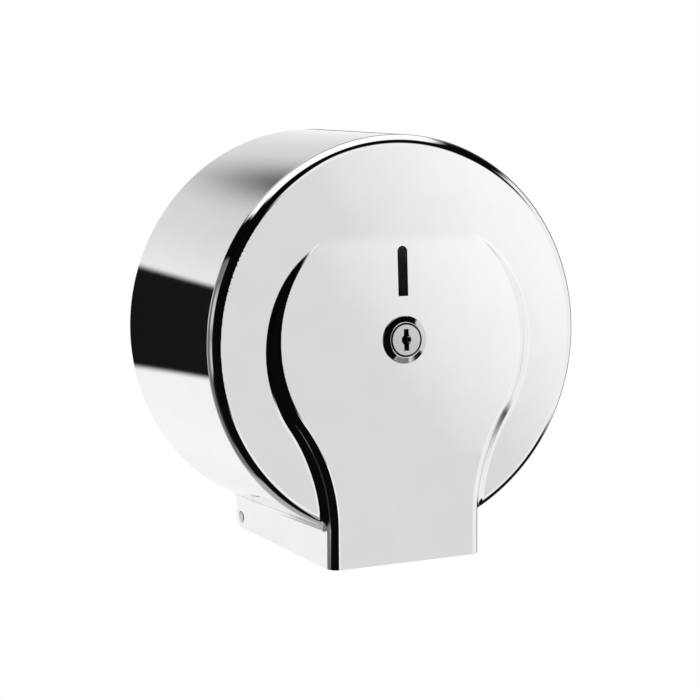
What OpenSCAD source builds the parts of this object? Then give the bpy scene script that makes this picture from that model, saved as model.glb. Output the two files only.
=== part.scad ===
// Wall-hung jumbo toilet roll dispenser in polished sheet steel.
// A round drum cover with a foot hinges on a back plate and locks on the spindle.
// Everything is drawn lying on its back: X right, Y up the wall, Z out from the
// wall, and upright() stands it up, so that the front faces -Y and +Z is up.
// The origin is on the wall, at the drum's axis.

/* [Cover shell] */
// Outside radius of the drum at its front rim
front_r = 110; // [104:1:118]
// How far the drum's side and the cheeks spread from the rim to the wall
draft = 5; // [1:0.5:7]
// Depth from the wall to the flat face
drum_depth = 122; // [120:1:136]
// Thickness of the cover's sheet
sheet = 1; // [0.8:0.1:1.2]
// Rounding of the rim and of the foot's front edges
rim_round = 5.5; // [4:0.5:7]
// Inside bend between the drum and the foot's cheeks
bend_r = 6; // [3:0.5:9]
// Gap between the cover's rear edge and the wall
wall_gap = 0.5; // [0.3:0.1:1]

/* [Foot and raised panel] */
// Width of the foot at its front
foot_w = 92; // [84:1:100]
// How far the foot hangs below the rim
foot_drop = 12; // [10:1:24]
// Radius of the panel's round part
bulb_r = 77.5; // [70:0.5:84]
// How far the round part's centre lies below the drum's axis
bulb_drop = 0.5; // [0:0.5:8]
// Radius of the panel's two neck curves
neck_r = 95; // [70:1:104]
// Height above the axis at which the panel leaves the face
panel_top = 54.5; // [48:0.5:60]
// Distance below the axis at which the panel turns parallel to the wall
ramp_end = 66; // [50:1:80]
// How far the foot stands proud of the flat face
panel_rise = 5.5; // [3:0.5:7]
// Width of the level slot
slot_w = 5.9; // [5:0.1:8]
// Length of the level slot
slot_len = 27; // [22:1:30]
// Height of the level slot's lower end above the axis
slot_y = 23.5; // [20:0.5:26]

/* [Back plate] */
// Thickness of the back plate's sheet
plate_t = 1.5; // [1:0.1:2]
// Gap between the back plate's flange and the inside of the cover
plate_gap = 2; // [1.6:0.1:3]
// Height of the flange that stiffens the back plate
flange_h = 5; // [3:0.5:8]
// Fixing holes, centre to centre, across
fix_w = 120; // [100:1:130]
// Fixing holes, centre to centre, up
fix_h = 120; // [100:1:130]
// Diameter of the fixing holes
fix_d = 6; // [5:0.1:7]

/* [Cover hinge] */
// Distance of the hinge pins from the wall
pin_z = 7; // [6.5:0.5:9]
// Diameter of the hinge pins
pin_d = 4; // [3:0.5:5]
// Diameter of the pins' round heads
pin_head_d = 8; // [7:0.5:10]
// Height of the pins' round heads
pin_head_h = 1.1; // [0.8:0.1:1.4]
// Depth of the dish pressed into each cheek for the pin's head
dish_depth = 1.2; // [1:0.1:1.6]
// Thickness of the nylon washers between cheek and ear
hinge_washer_t = 1; // [0.6:0.1:1.4]

/* [Spindle and hub] */
// Diameter of the axle
axle_d = 12; // [10:0.5:14]
// Diameter of the flange that is riveted to the back plate
base_d = 60; // [56:1:66]
// Thickness of that flange
base_t = 2.5; // [2:0.5:4]
// Height of the boss above the flange
boss_h = 8; // [6:1:10]
// Diameter of the rivets in the flange
rivet_d = 4; // [3:0.5:4.5]
// Outside diameter of the hub that carries the roll's core
hub_d = 44; // [43:1:48]
// Gap between the keeper's screw and the cam's screw
latch_gap = 1.9; // [1.2:0.1:4]
// Wall of the hub
hub_wall = 2.5; // [2:0.5:3]
// Diameter of the disc that keeps the roll off the back plate
roll_disc_d = 92; // [80:1:110]
// Thickness of that disc
roll_disc_t = 2.5; // [2:0.5:3.5]
// Length of each bush
bush_len = 8; // [6:1:10]
// Outside diameter of the bushes
bush_d = 18; // [17:0.5:20]

/* [Lock] */
// Outside diameter of the lock's collar
collar_d = 26; // [25:0.5:28]
// Height of the collar above the panel
collar_h = 2.2; // [1.6:0.1:3]
// Diameter of the lock's barrel
barrel_d = 19; // [18:0.5:20]
// Length of the barrel behind the panel
barrel_len = 20; // [19:0.5:21]
// Diameter of the plug's round face
plug_head_d = 18; // [17:0.5:18.5]
// Diameter of the plug in the barrel
plug_d = 13.5; // [13:0.5:14]
// Side of the plug's square tail
tail_w = 8; // [7:0.5:8.5]
// Reach of the cam from the lock's axis
cam_len = 17; // [16:0.5:17.5]
// Width of the cam
cam_w = 12; // [10:0.5:14]
// Thickness of the cam
cam_t = 2; // [1.5:0.1:2.2]
// Number of wafers in the plug
wafers = 6; // [4:1:7]
// Thickness of the keeper's sheet
keeper_t = 1.5; // [1.2:0.1:2]
// Overlap of the keeper's lip and the turned cam
keeper_grip = 5.5; // [4:0.5:6]

/* [Hidden] */
$fn = 96;

// Clearances
run_gap = 0.05;
play = 0.15;
end_play = 0.3;
slip_gap = 0.2;
over = 1;

// Cover
rear_r = front_r + draft;
seam_z = drum_depth - rim_round;
foot_half = foot_w / 2;
foot_y = front_r + foot_drop;
panel_slope = panel_rise / (panel_top + ramp_end);
bulb_y = -bulb_drop;
neck_y = bulb_y - sqrt(pow(bulb_r + neck_r, 2) - pow(foot_half + neck_r, 2));
neck_turn = acos((foot_half + neck_r) / (bulb_r + neck_r));
arc_steps = 10;
round_steps = 4;
bend_steps = 8;
drum_steps = 40;

// Hinge
corner_r = pin_z - wall_gap;
pin_y = -(foot_y - corner_r);
cheek_x = foot_half + spread(pin_z);
dish_floor_x = cheek_x - dish_depth;
ear_x = dish_floor_x - sheet - hinge_washer_t - 2 * play;
dish_margin = 1;
dish_run = 2;
dish_floor_d = pin_head_d + 2 * dish_margin;
dish_d = dish_floor_d + 2 * dish_run * dish_depth;
pin_tail_h = 1.2;
pin_tail_lip = 1.5;
pin_tail_d = pin_d + 2 * pin_tail_lip;

// Back plate
plate_r = rear_r - sheet - plate_gap;
tongue_gap = 1.5;
tongue_y = foot_y - tongue_gap;
flange_end_gap = 18;
flange_open = foot_half + flange_end_gap;
ear_rise = 10;
ear_h = 2 * pin_z + tongue_gap;
ear_len = 2 * (tongue_y + pin_y) + ear_rise;
rivet_edge = 8;
rivet_ring = base_d / 2 - rivet_edge;
rivet_head_h = 1.6;
rivet_head_d = 2 * rivet_d;
rivet_top_d = 1.3 * rivet_d;

// Spindle
base_top = plate_t + base_t;
boss_top = base_top + boss_h;
washer_t = 1.2;
washer_lip = 4;
boss_wall = 6;
boss_d = axle_d + 2 * boss_wall;
bush_flange_t = 1.5;
bush_lip = 2;
bush_flange_d = bush_d + 2 * bush_lip;
clip_t = 1.2;
clip_lip = 3;
clip_mouth = 4;
groove_depth = 1;
axle_nose = 2.5;
tip_step = 1;
tip_w = axle_d / sqrt(2) - tip_step;
screw_d = 5;
tap_depth = 12;
tap_spare = 1;
keeper_head_h = 2.4;
keeper_head_lip = 2;
keeper_head_d = tip_w + 2 * keeper_head_lip;
hex_key_w = 3;
hex_key_depth = 1.4;

// Lock, measured along its own axis from the panel's outer surface
lock_tilt = atan(panel_slope);
lock_z = drum_depth + panel_slope * panel_top;
head_seat = 0.2;
plug_proud = 0.2;
plug_face = collar_h + plug_proud;
collar_edge = 0.7;
collar_lip = 0.9;
collar_slope = 1.1;
lock_washer_t = 0.8;
nut_t = 4.5;
nut_lip = 1.5;
nut_w = barrel_d + 2 * nut_lip;
stop_t = 1;
stop_z = barrel_len + slip_gap;
cam_z = stop_z + stop_t;
tail_end = cam_z + cam_t;
tab_w = 4;
lug_wall = 0.75;
stop_rim = 1.25;
lug_step = 10;
cam_rim = 1.5;
cam_washer_t = 0.8;
cam_washer_lip = 0.5;
cam_screw_h = 2.5;
cam_screw_lip = 1.5;
cam_tap = 7;
key_w = 2.8;
key_h = 11.6;
key_depth = 1.5;
keyway_w = 2.4;
keyway_h = 8;
keyway_rest = 4;
wafer_t = 0.7;
wafer_pitch = 2.2;
wafer_w = 5.4;
wafer_h = 11.8;
wafer_gap = 0.1;
wafer_start = 2;
window_gap = 0.2;
window_step = 0.3;
screw_reach = tail_end + cam_washer_t + cam_screw_h;

// Keeper, which reaches round the cam
cam_gap = 1.5;
lip_x = cam_len - keeper_grip;
keeper_x = cam_len + cam_gap;
lip_z = lock_z - cam_z + cam_gap;
keeper_half_h = 8;
keeper_tail = 9;

// Stack along the axle, from the keeper back to the boss
axle_end = lock_z - screw_reach - latch_gap - keeper_head_h - keeper_t;
clip_z = axle_end - axle_nose - clip_t;
front_bush_end = clip_z - washer_t - end_play;
hub_lip = 1;
hub_end = front_bush_end + hub_lip;
disc_gap = 2.4;
hub_z = base_top + rivet_head_h + disc_gap;
hub_len = hub_end - hub_z;
bush_z = boss_top + washer_t + end_play;

steel = [0.86, 0.86, 0.87];
bright = [0.78, 0.78, 0.8];
brass = [0.8, 0.65, 0.35];
nylon = [0.93, 0.93, 0.9];
moulded = [0.3, 0.31, 0.33];

// How much further out the cover's side is at distance z from the wall than at the rim
function spread(z) = draft * (1 - z / seam_z);

// Distance of the raised panel from the wall at height y
function panel_z(y) = drum_depth + panel_slope * (panel_top - max(y, -ramp_end));

// Right half of the panel's outline, from the foot's lower edge up to the top
function half_outline(inset, low) = concat(
    [[foot_half - inset, -foot_y - low]],
    [for (k = [0:arc_steps])
        let (a = 180 - neck_turn * k / arc_steps)
        [foot_half + neck_r + (neck_r + inset) * cos(a), neck_y + (neck_r + inset) * sin(a)]],
    [for (k = [1:2 * arc_steps])
        let (a = -neck_turn + (90 + neck_turn) * k / (2 * arc_steps))
        [(bulb_r - inset) * cos(a), bulb_y + (bulb_r - inset) * sin(a)]]
);

function mirrored(half) = [for (k = [len(half) - 2:-1:0]) [-half[k][0], half[k][1]]];

// One closed ring of the panel's solid, with its front drop_z behind the panel's surface
function panel_ring(inset, drop_z, low) =
    let (half = half_outline(inset, low))
    [for (p = concat(half, mirrored(half))) [p[0], p[1], panel_z(p[1]) - drop_z]];

// Stands the part up on the wall
module upright() {
    rotate([90, 0, 0]) children();
}

// Solid through rings of points, from the wall outwards, each symmetric about the middle
module loft(rings) {
    count = len(rings[0]);
    half = (count - 1) / 2;
    last = len(rings) - 1;
    sides = [for (j = [0:last - 1], k = [0:count - 1])
        let (n = (k + 1) % count)
        [j * count + k, (j + 1) * count + k, (j + 1) * count + n, j * count + n]];
    strips = [for (j = [0, last], k = [0:half - 1])
        let (m = count - 1 - k)
        k < half - 1
            ? [j * count + k, j * count + k + 1, j * count + m - 1, j * count + m]
            : [j * count + k, j * count + k + 1, j * count + m]];
    caps = [for (i = [0:len(strips) - 1])
        i < half ? strips[i] : [for (q = [len(strips[i]) - 1:-1:0]) strips[i][q]]];
    polyhedron(points = [for (r = rings) each r], faces = concat(sides, caps));
}

// Solid of the raised panel and foot, inset by the sheet for the inner side
module panel_solid(inset, low) {
    edge_r = rim_round - inset;
    loft(concat(
        [panel_ring(inset, panel_rise + 2 * rim_round, low)],
        [for (j = [0:round_steps])
            let (a = 90 * j / round_steps)
            panel_ring(inset + edge_r * (1 - cos(a)), inset + edge_r * (1 - sin(a)), low)]
    ));
}

// Ring of the drum's side, its bends and the cheeks, at distance z from the wall
function band_ring(inset, z, low) =
    let (
        bend_x = foot_half + spread(z) + bend_r,
        drum_r = front_r + spread(z),
        bend_y = -sqrt(pow(drum_r + bend_r, 2) - pow(bend_x, 2)),
        turn = atan(-bend_y / bend_x),
        half = concat(
            [[bend_x - bend_r - inset, -foot_y - low]],
            [for (k = [0:bend_steps])
                let (a = 180 - turn * k / bend_steps)
                [bend_x + (bend_r + inset) * cos(a), bend_y + (bend_r + inset) * sin(a)]],
            [for (k = [1:drum_steps])
                let (a = -turn + (90 + turn) * k / drum_steps)
                [(drum_r - inset) * cos(a), (drum_r - inset) * sin(a)]]
        )
    )
    [for (p = concat(half, mirrored(half))) [p[0], p[1], z]];

// Solid of the drum from the seam forward, with its rounded rim
module drum_nose(inset) {
    edge_r = rim_round - inset;
    rotate_extrude() {
        square([front_r - rim_round, drum_depth - inset]);
        square([front_r - inset, seam_z]);
        translate([front_r - rim_round, seam_z])
            intersection() {
                circle(r = edge_r);
                square(edge_r);
            }
    }
}

// Places a turned piece on the hinge's axis, side 1 on the right, pointing outwards
module on_hinge(side) {
    translate([0, pin_y, pin_z])
        rotate([0, side * 90, 0]) children();
}

// Places a piece on the lock's axis, with z = 0 on the panel's surface
module on_lock() {
    translate([0, 0, lock_z])
        rotate([-lock_tilt, 0, 0]) children();
}

module ring(outer_d, inner_d, height) {
    difference() {
        cylinder(d = outer_d, h = height);
        translate([0, 0, -over])
            cylinder(d = inner_d, h = height + 2 * over);
    }
}

module hexagon(width, height) {
    cylinder(d = width / cos(30), h = height, $fn = 6);
}

// Pressed round plate with a stiffening flange, a tongue and two folded hinge ears
module back_plate() {
    color(steel) upright() {
        difference() {
            union() {
                cylinder(r = plate_r, h = plate_t);
                translate([-ear_x, -tongue_y, 0])
                    cube([2 * ear_x, tongue_y, plate_t]);
                difference() {
                    ring(2 * plate_r, 2 * (plate_r - plate_t), flange_h);
                    translate([-flange_open, -2 * plate_r, plate_t])
                        cube([2 * flange_open, 2 * plate_r, flange_h]);
                }
                for (side = [-1, 1])
                    translate([side * (ear_x - plate_t / 2) - plate_t / 2, -tongue_y, 0])
                        cube([plate_t, ear_len, ear_h]);
            }
            for (x = [-1, 1], y = [-1, 1])
                translate([x * fix_w / 2, y * fix_h / 2, -over])
                    cylinder(d = fix_d, h = plate_t + 2 * over);
            for (a = [45:90:315])
                rotate(a) translate([rivet_ring, 0, -over])
                    cylinder(d = rivet_d, h = plate_t + 2 * over);
            for (side = [-1, 1])
                on_hinge(side) translate([0, 0, ear_x - plate_t - over])
                    cylinder(d = pin_d, h = plate_t + 2 * over);
        }
    }
}

// Headed rivets that hold the cheeks to the ears
module hinge_pins() {
    color(bright) upright()
        for (side = [-1, 1]) on_hinge(side) {
            translate([0, 0, ear_x - plate_t - pin_tail_h])
                cylinder(d = pin_tail_d, h = pin_tail_h);
            translate([0, 0, ear_x - plate_t - pin_tail_h])
                cylinder(d = pin_d, h = dish_floor_x + play - ear_x + plate_t + pin_tail_h);
            translate([0, 0, dish_floor_x + play])
                pin_head();
        }
}

// Low round head, a cap of a sphere
module pin_head() {
    dome_r = (pow(pin_head_d / 2, 2) + pow(pin_head_h, 2)) / (2 * pin_head_h);
    intersection() {
        translate([0, 0, pin_head_h - dome_r]) sphere(r = dome_r);
        cylinder(d = pin_head_d + over, h = pin_head_h + over);
    }
}

module hinge_washers() {
    color(nylon) upright()
        for (side = [-1, 1]) on_hinge(side)
            translate([0, 0, ear_x])
                ring(pin_head_d, pin_d, hinge_washer_t);
}

// Flange and boss that carry the axle
module spindle_base() {
    color(bright) upright()
        difference() {
            union() {
                translate([0, 0, plate_t]) cylinder(d = base_d, h = base_t);
                translate([0, 0, plate_t]) cylinder(d = boss_d, h = base_t + boss_h);
            }
            cylinder(d = axle_d, h = boss_top + over);
            for (a = [45:90:315])
                rotate(a) translate([rivet_ring, 0, 0])
                    cylinder(d = rivet_d, h = base_top + over);
        }
}

module base_rivets() {
    color(bright) upright()
        for (a = [45:90:315])
            rotate(a) translate([rivet_ring, 0, 0]) {
                cylinder(d = rivet_d, h = base_top);
                translate([0, 0, base_top])
                    cylinder(d1 = rivet_head_d, d2 = rivet_top_d, h = rivet_head_h);
            }
}

// Turned axle with a clip groove, a square tip and a tapped hole
module axle() {
    color(bright) upright()
        difference() {
            union() {
                translate([0, 0, plate_t])
                    cylinder(d = axle_d, h = axle_end - plate_t);
                translate([-tip_w / 2, -tip_w / 2, axle_end - over])
                    cube([tip_w, tip_w, keeper_t + over]);
            }
            translate([0, 0, clip_z])
                ring(axle_d + over, axle_d - 2 * groove_depth, clip_t);
            translate([0, 0, axle_end - tap_depth])
                cylinder(d = screw_d, h = tap_depth + keeper_t + over);
        }
}

module thrust_washer() {
    color(nylon) upright()
        translate([0, 0, boss_top])
            ring(boss_d, axle_d, washer_t);
}

// Moulded sleeve for the roll's core, with two webs that hold the bushes
module hub_sleeve() {
    web_len = bush_len - bush_flange_t;
    web_w = hub_d / 2 - bush_d / 2 - hub_wall / 2;
    color(moulded) upright()
        rotate_extrude() {
            translate([hub_d / 2 - hub_wall, hub_z])
                square([hub_wall, hub_len]);
            translate([bush_d / 2, bush_z + bush_flange_t])
                square([web_w, web_len]);
            translate([bush_d / 2, front_bush_end - bush_len])
                square([web_w, web_len]);
        }
}

// Disc pressed on the sleeve's rear end
module hub_disc() {
    color(moulded) upright()
        translate([0, 0, hub_z])
            ring(roll_disc_d, hub_d, roll_disc_t);
}

// Flanged bush, with its flange at the bottom
module bush() {
    bore = axle_d + 2 * run_gap;
    rotate_extrude() {
        translate([bore / 2, 0])
            square([(bush_d - bore) / 2, bush_len]);
        translate([bore / 2, 0])
            square([(bush_flange_d - bore) / 2, bush_flange_t]);
    }
}

module rear_bush() {
    color(nylon) upright()
        translate([0, 0, bush_z]) bush();
}

module front_bush() {
    color(nylon) upright()
        translate([0, 0, front_bush_end]) mirror([0, 0, 1]) bush();
}

module front_washer() {
    color(bright) upright()
        translate([0, 0, clip_z - washer_t])
            ring(axle_d + 2 * washer_lip, axle_d, washer_t);
}

// Snap ring in the axle's groove, open on one side
module axle_clip() {
    color(bright) upright()
        translate([0, 0, clip_z])
            difference() {
                cylinder(d = axle_d + 2 * clip_lip, h = clip_t);
                translate([0, 0, -over])
                    cylinder(d = axle_d - 2 * groove_depth, h = clip_t + 2 * over);
                translate([-clip_mouth / 2, 0, -over])
                    cube([clip_mouth, axle_d, clip_t + 2 * over]);
            }
}

// Bent catch on the axle's tip: the turned cam lies behind its lip
module keeper() {
    color(steel) upright()
        difference() {
            union() {
                translate([-keeper_tail, -keeper_half_h, axle_end])
                    cube([keeper_x + keeper_t + keeper_tail, 2 * keeper_half_h, keeper_t]);
                translate([keeper_x, -keeper_half_h, axle_end])
                    cube([keeper_t, 2 * keeper_half_h, lip_z + keeper_t - axle_end]);
                translate([lip_x, -keeper_half_h, lip_z])
                    cube([keeper_x + keeper_t - lip_x, 2 * keeper_half_h, keeper_t]);
            }
            translate([-tip_w / 2, -tip_w / 2, axle_end - over])
                cube([tip_w, tip_w, keeper_t + 2 * over]);
        }
}

module keeper_screw() {
    shank = keeper_t + tap_depth - tap_spare;
    color(bright) upright()
        translate([0, 0, axle_end + keeper_t])
            difference() {
                union() {
                    cylinder(d = keeper_head_d, h = keeper_head_h);
                    translate([0, 0, -shank]) cylinder(d = screw_d, h = shank);
                }
                translate([0, 0, keeper_head_h - hex_key_depth])
                    hexagon(hex_key_w, hex_key_depth + over);
            }
}

// Rolled band of the drum with the foot's two cheeks, dished for the hinge pins
module cover_band() {
    color(steel) upright()
        difference() {
            intersection() {
                union() {
                    difference() {
                        loft([band_ring(0, 0, over), band_ring(0, seam_z, over)]);
                        loft([band_ring(sheet, -over, 2 * over),
                            band_ring(sheet, seam_z + over, 2 * over)]);
                    }
                    for (side = [-1, 1])
                        on_hinge(side) translate([0, 0, dish_floor_x - sheet])
                            cylinder(d1 = dish_floor_d + sheet, d2 = dish_d + sheet,
                                h = dish_depth + sheet / 2);
                }
                translate([-2 * rear_r, -foot_y, wall_gap])
                    cube([4 * rear_r, 2 * foot_y, seam_z - wall_gap]);
            }
            for (side = [-1, 1]) {
                on_hinge(side) translate([0, 0, dish_floor_x])
                    cylinder(d1 = dish_floor_d, d2 = dish_d + 4 * over, h = dish_depth + over);
                on_hinge(side) translate([0, 0, ear_x])
                    cylinder(d = pin_d + 2 * run_gap, h = cheek_x - ear_x);
                // round corner about the pin, so that the cheek clears the wall
                difference() {
                    translate([side * cheek_x - 2 * corner_r, -foot_y - over, -over])
                        cube([4 * corner_r, corner_r + over, pin_z + over]);
                    translate([side * cheek_x - 3 * corner_r, pin_y, pin_z])
                        rotate([0, 90, 0]) cylinder(r = corner_r, h = 6 * corner_r);
                }
            }
        }
}

// Pressed front: flat face, rounded rim, raised panel, foot, level slot and lock hole
module cover_front() {
    color(steel) upright()
        difference() {
            union() {
                drum_nose(0);
                panel_solid(0, 0);
            }
            drum_nose(sheet);
            panel_solid(sheet, over);
            translate([-2 * rear_r, -2 * rear_r, -over])
                cube([4 * rear_r, 4 * rear_r, seam_z + over]);
            level_slot();
            on_lock() translate([0, 0, -rim_round])
                cylinder(d = barrel_d + 2 * slip_gap, h = 2 * rim_round);
        }
}

// Round at the top and square at the bottom
module level_slot() {
    round_y = slot_y + slot_len - slot_w / 2;
    translate([-slot_w / 2, slot_y, drum_depth - 2 * rim_round])
        cube([slot_w, slot_len - slot_w / 2, 4 * rim_round]);
    translate([0, round_y, drum_depth - 2 * rim_round])
        cylinder(d = slot_w, h = 4 * rim_round);
}

// Collar and threaded barrel, with two stop lugs round the end
module lock_housing() {
    bore_r = plug_d / 2 + run_gap;
    head_r = plug_head_d / 2 + run_gap;
    top_r = plug_head_d / 2 + collar_lip + collar_slope;
    lug_gap_w = tab_w + 2 * slip_gap;
    color(bright) upright() on_lock() {
        rotate_extrude()
            polygon([
                [bore_r, -barrel_len], [barrel_d / 2, -barrel_len], [barrel_d / 2, 0],
                [collar_d / 2, 0], [collar_d / 2, collar_edge], [top_r, collar_h],
                [head_r, collar_h], [head_r, head_seat / 2], [bore_r, head_seat / 2]
            ]);
        translate([0, 0, -cam_z])
            difference() {
                ring(barrel_d, barrel_d - 2 * lug_wall, cam_z - barrel_len);
                for (a = [0:lug_step:90])
                    rotate(a) translate([0, -lug_gap_w / 2, -over])
                        cube([barrel_d, lug_gap_w, cam_z - barrel_len + over]);
            }
    }
}

module lock_washer() {
    color(bright) upright() on_lock()
        translate([0, 0, -sheet - lock_washer_t])
            ring(nut_w, barrel_d, lock_washer_t);
}

module lock_nut() {
    color(bright) upright() on_lock()
        translate([0, 0, -sheet - lock_washer_t - nut_t])
            difference() {
                hexagon(nut_w, nut_t);
                translate([0, 0, -over]) cylinder(d = barrel_d, h = nut_t + 2 * over);
            }
}

// Turning plug with its keyway, wafer slots and square tail
module lock_plug() {
    color(bright) upright() on_lock()
        difference() {
            union() {
                translate([0, 0, head_seat]) cylinder(d = plug_head_d, h = plug_face - head_seat);
                translate([0, 0, -barrel_len]) cylinder(d = plug_d, h = barrel_len + head_seat);
                translate([-tail_w / 2, -tail_w / 2, -tail_end])
                    cube([tail_w, tail_w, tail_end]);
            }
            translate([-key_w / 2, -key_h / 2, plug_face - key_depth])
                cube([key_w, key_h, 2 * key_depth]);
            translate([0, 0, plug_face - key_depth])
                cylinder(d = 2 * key_w, h = 2 * key_depth);
            translate([-keyway_w / 2, -keyway_h / 2, -barrel_len + keyway_rest])
                cube([keyway_w, keyway_h, barrel_len]);
            for (i = [0:wafers - 1])
                translate([0, 0, wafer_low(i) - wafer_gap])
                    wafer_block(wafer_gap, wafer_t + 2 * wafer_gap);
            translate([0, 0, -tail_end - over])
                cylinder(d = screw_d, h = cam_tap + over);
        }
}

function wafer_low(i) = -wafer_start - wafer_pitch * i - wafer_t;

module wafer_block(gap, height) {
    translate([-wafer_w / 2 - gap, -wafer_h / 2 - gap, 0])
        cube([wafer_w + 2 * gap, wafer_h + 2 * gap, height]);
}

module lock_wafers() {
    window_w = keyway_w + 2 * window_gap;
    color(brass) upright() on_lock()
        for (i = [0:wafers - 1])
            translate([0, 0, wafer_low(i)])
                difference() {
                    wafer_block(0, wafer_t);
                    translate([-window_w / 2, window_step * (i % 3) - keyway_h / 2, -over])
                        cube([window_w, keyway_h - 3 * window_step, wafer_t + 2 * over]);
                }
}

// Disc on the tail, whose tab meets the barrel's lugs at each end of the turn
module stop_disc() {
    color(bright) upright() on_lock()
        translate([0, 0, -cam_z])
            difference() {
                union() {
                    cylinder(r = plug_d / 2 + stop_rim, h = stop_t);
                    translate([-tab_w / 2, 0, 0]) cube([tab_w, barrel_d / 2, stop_t]);
                }
                translate([-tail_w / 2, -tail_w / 2, -over])
                    cube([tail_w, tail_w, stop_t + 2 * over]);
            }
}

// Flat cam, upwards while the lock is open
module lock_cam() {
    color(steel) upright() on_lock()
        translate([0, 0, -tail_end])
            difference() {
                union() {
                    cylinder(r = cam_w / 2 + cam_rim, h = cam_t);
                    translate([-cam_w / 2, 0, 0]) cube([cam_w, cam_len - cam_w / 2, cam_t]);
                    translate([0, cam_len - cam_w / 2, 0]) cylinder(d = cam_w, h = cam_t);
                }
                translate([-tail_w / 2, -tail_w / 2, -over])
                    cube([tail_w, tail_w, cam_t + 2 * over]);
            }
}

module cam_washer() {
    color(bright) upright() on_lock()
        translate([0, 0, -tail_end - cam_washer_t])
            ring(cam_w + 2 * cam_washer_lip, screw_d, cam_washer_t);
}

module cam_screw() {
    color(bright) upright() on_lock()
        translate([0, 0, -tail_end - cam_washer_t]) {
            translate([0, 0, -cam_screw_h])
                hexagon(screw_d + 2 * cam_screw_lip, cam_screw_h);
            cylinder(d = screw_d, h = cam_tap - tap_spare + cam_washer_t);
        }
}

back_plate();
hinge_pins();
hinge_washers();
spindle_base();
base_rivets();
axle();
thrust_washer();
hub_sleeve();
hub_disc();
rear_bush();
front_bush();
front_washer();
axle_clip();
keeper();
keeper_screw();
cover_band();
cover_front();
lock_housing();
lock_washer();
lock_nut();
lock_plug();
lock_wafers();
stop_disc();
lock_cam();
cam_washer();
cam_screw();
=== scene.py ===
import math

import bmesh
import bpy
import numpy as np
from mathutils import Matrix, Vector


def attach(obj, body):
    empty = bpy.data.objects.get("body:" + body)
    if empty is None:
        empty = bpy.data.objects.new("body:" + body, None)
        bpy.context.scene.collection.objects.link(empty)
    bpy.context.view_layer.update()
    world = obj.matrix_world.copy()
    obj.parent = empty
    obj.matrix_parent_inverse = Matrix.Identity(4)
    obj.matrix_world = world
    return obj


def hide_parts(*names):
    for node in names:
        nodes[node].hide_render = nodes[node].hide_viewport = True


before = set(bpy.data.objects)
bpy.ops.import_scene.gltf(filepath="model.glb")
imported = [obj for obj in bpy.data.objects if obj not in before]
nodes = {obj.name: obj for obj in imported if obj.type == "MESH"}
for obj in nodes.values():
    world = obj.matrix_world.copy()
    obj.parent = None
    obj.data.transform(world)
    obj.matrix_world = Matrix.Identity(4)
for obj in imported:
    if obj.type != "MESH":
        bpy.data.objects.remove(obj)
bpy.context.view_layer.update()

# ---- Camera ----
# A long lens looks at the dispenser from its left and from a little above. Its place,
# its turn and its slight roll were worked out from the drum's rim and the foot's edges.
look_at = Vector((0.00084, -0.0528, -0.01305))
camera_distance = 0.948
camera_azimuth = math.radians(-24.891)
camera_elevation = math.radians(6.681)
camera_roll = math.radians(-0.422)

back = Vector((
    math.sin(camera_azimuth) * math.cos(camera_elevation),
    -math.cos(camera_azimuth) * math.cos(camera_elevation),
    math.sin(camera_elevation),
))
level_right = Vector((0, 0, 1)).cross(back).normalized()
level_up = back.cross(level_right)
camera_right = level_right * math.cos(camera_roll) + level_up * math.sin(camera_roll)
camera_up = level_up * math.cos(camera_roll) - level_right * math.sin(camera_roll)

lens = bpy.data.cameras.new("camera")
lens.lens = 84.1
lens.sensor_width = 36
lens.clip_start = 0.05
lens.clip_end = 100
camera = bpy.data.objects.new("camera", lens)
bpy.context.scene.collection.objects.link(camera)
turn = Matrix((camera_right, camera_up, back)).transposed().to_4x4()
camera.matrix_world = Matrix.Translation(look_at + back * camera_distance) @ turn
bpy.context.scene.camera = camera
bpy.context.scene.view_settings.view_transform = "Standard"


# ---- Light tent ----
# Polished steel shows what stands round it. A white tent with grey and black flags stands
# round the dispenser, as chrome is lit in a studio: the flags draw its dark lines.
def linear(seen):
    """Linear light of an sRGB value from 0 to 255."""
    share = np.asarray(seen, float) / 255
    return np.where(share <= 0.04045, share / 12.92, ((share + 0.055) / 1.055) ** 2.4)


def colour(code):
    """Linear colour, with alpha, of an sRGB hex value such as "d8d8d6"."""
    return [*(float(linear(int(code[k:k + 2], 16))) for k in (0, 2, 4)), 1]


def put(tree, kind, inputs=None, **settings):
    """Adds a node to a tree, with its settings and with values or links for its inputs."""
    made = tree.nodes.new(kind)
    for name, value in settings.items():
        setattr(made, name, value)
    for name, value in (inputs or {}).items():
        if isinstance(value, bpy.types.NodeSocket):
            tree.links.new(value, made.inputs[name])
        else:
            made.inputs[name].default_value = value
    return made


def blank_material(name):
    made = bpy.data.materials.new(name)
    made.use_nodes = True
    made.node_tree.nodes.clear()
    return made, made.node_tree


def as_mesh(work, name):
    """Turns a worked bmesh into a mesh and frees it."""
    made = bpy.data.meshes.new(name)
    work.to_mesh(made)
    work.free()
    return made


def add_object(name, mesh, *materials):
    made = bpy.data.objects.new(name, mesh)
    bpy.context.scene.collection.objects.link(made)
    for material in materials:
        mesh.materials.append(material)
    return made


def smooth(value):
    value = np.clip(value, 0, 1)
    return value * value * (3 - 2 * value)


def within(value, low, high, edge):
    """One between two limits and zero outside, with soft edges of a given width."""
    return smooth(0.5 + (value - low) / edge) * smooth(0.5 + (high - value) / edge)


steel_reflects = 0.8
tent_r = 1.6

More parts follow.
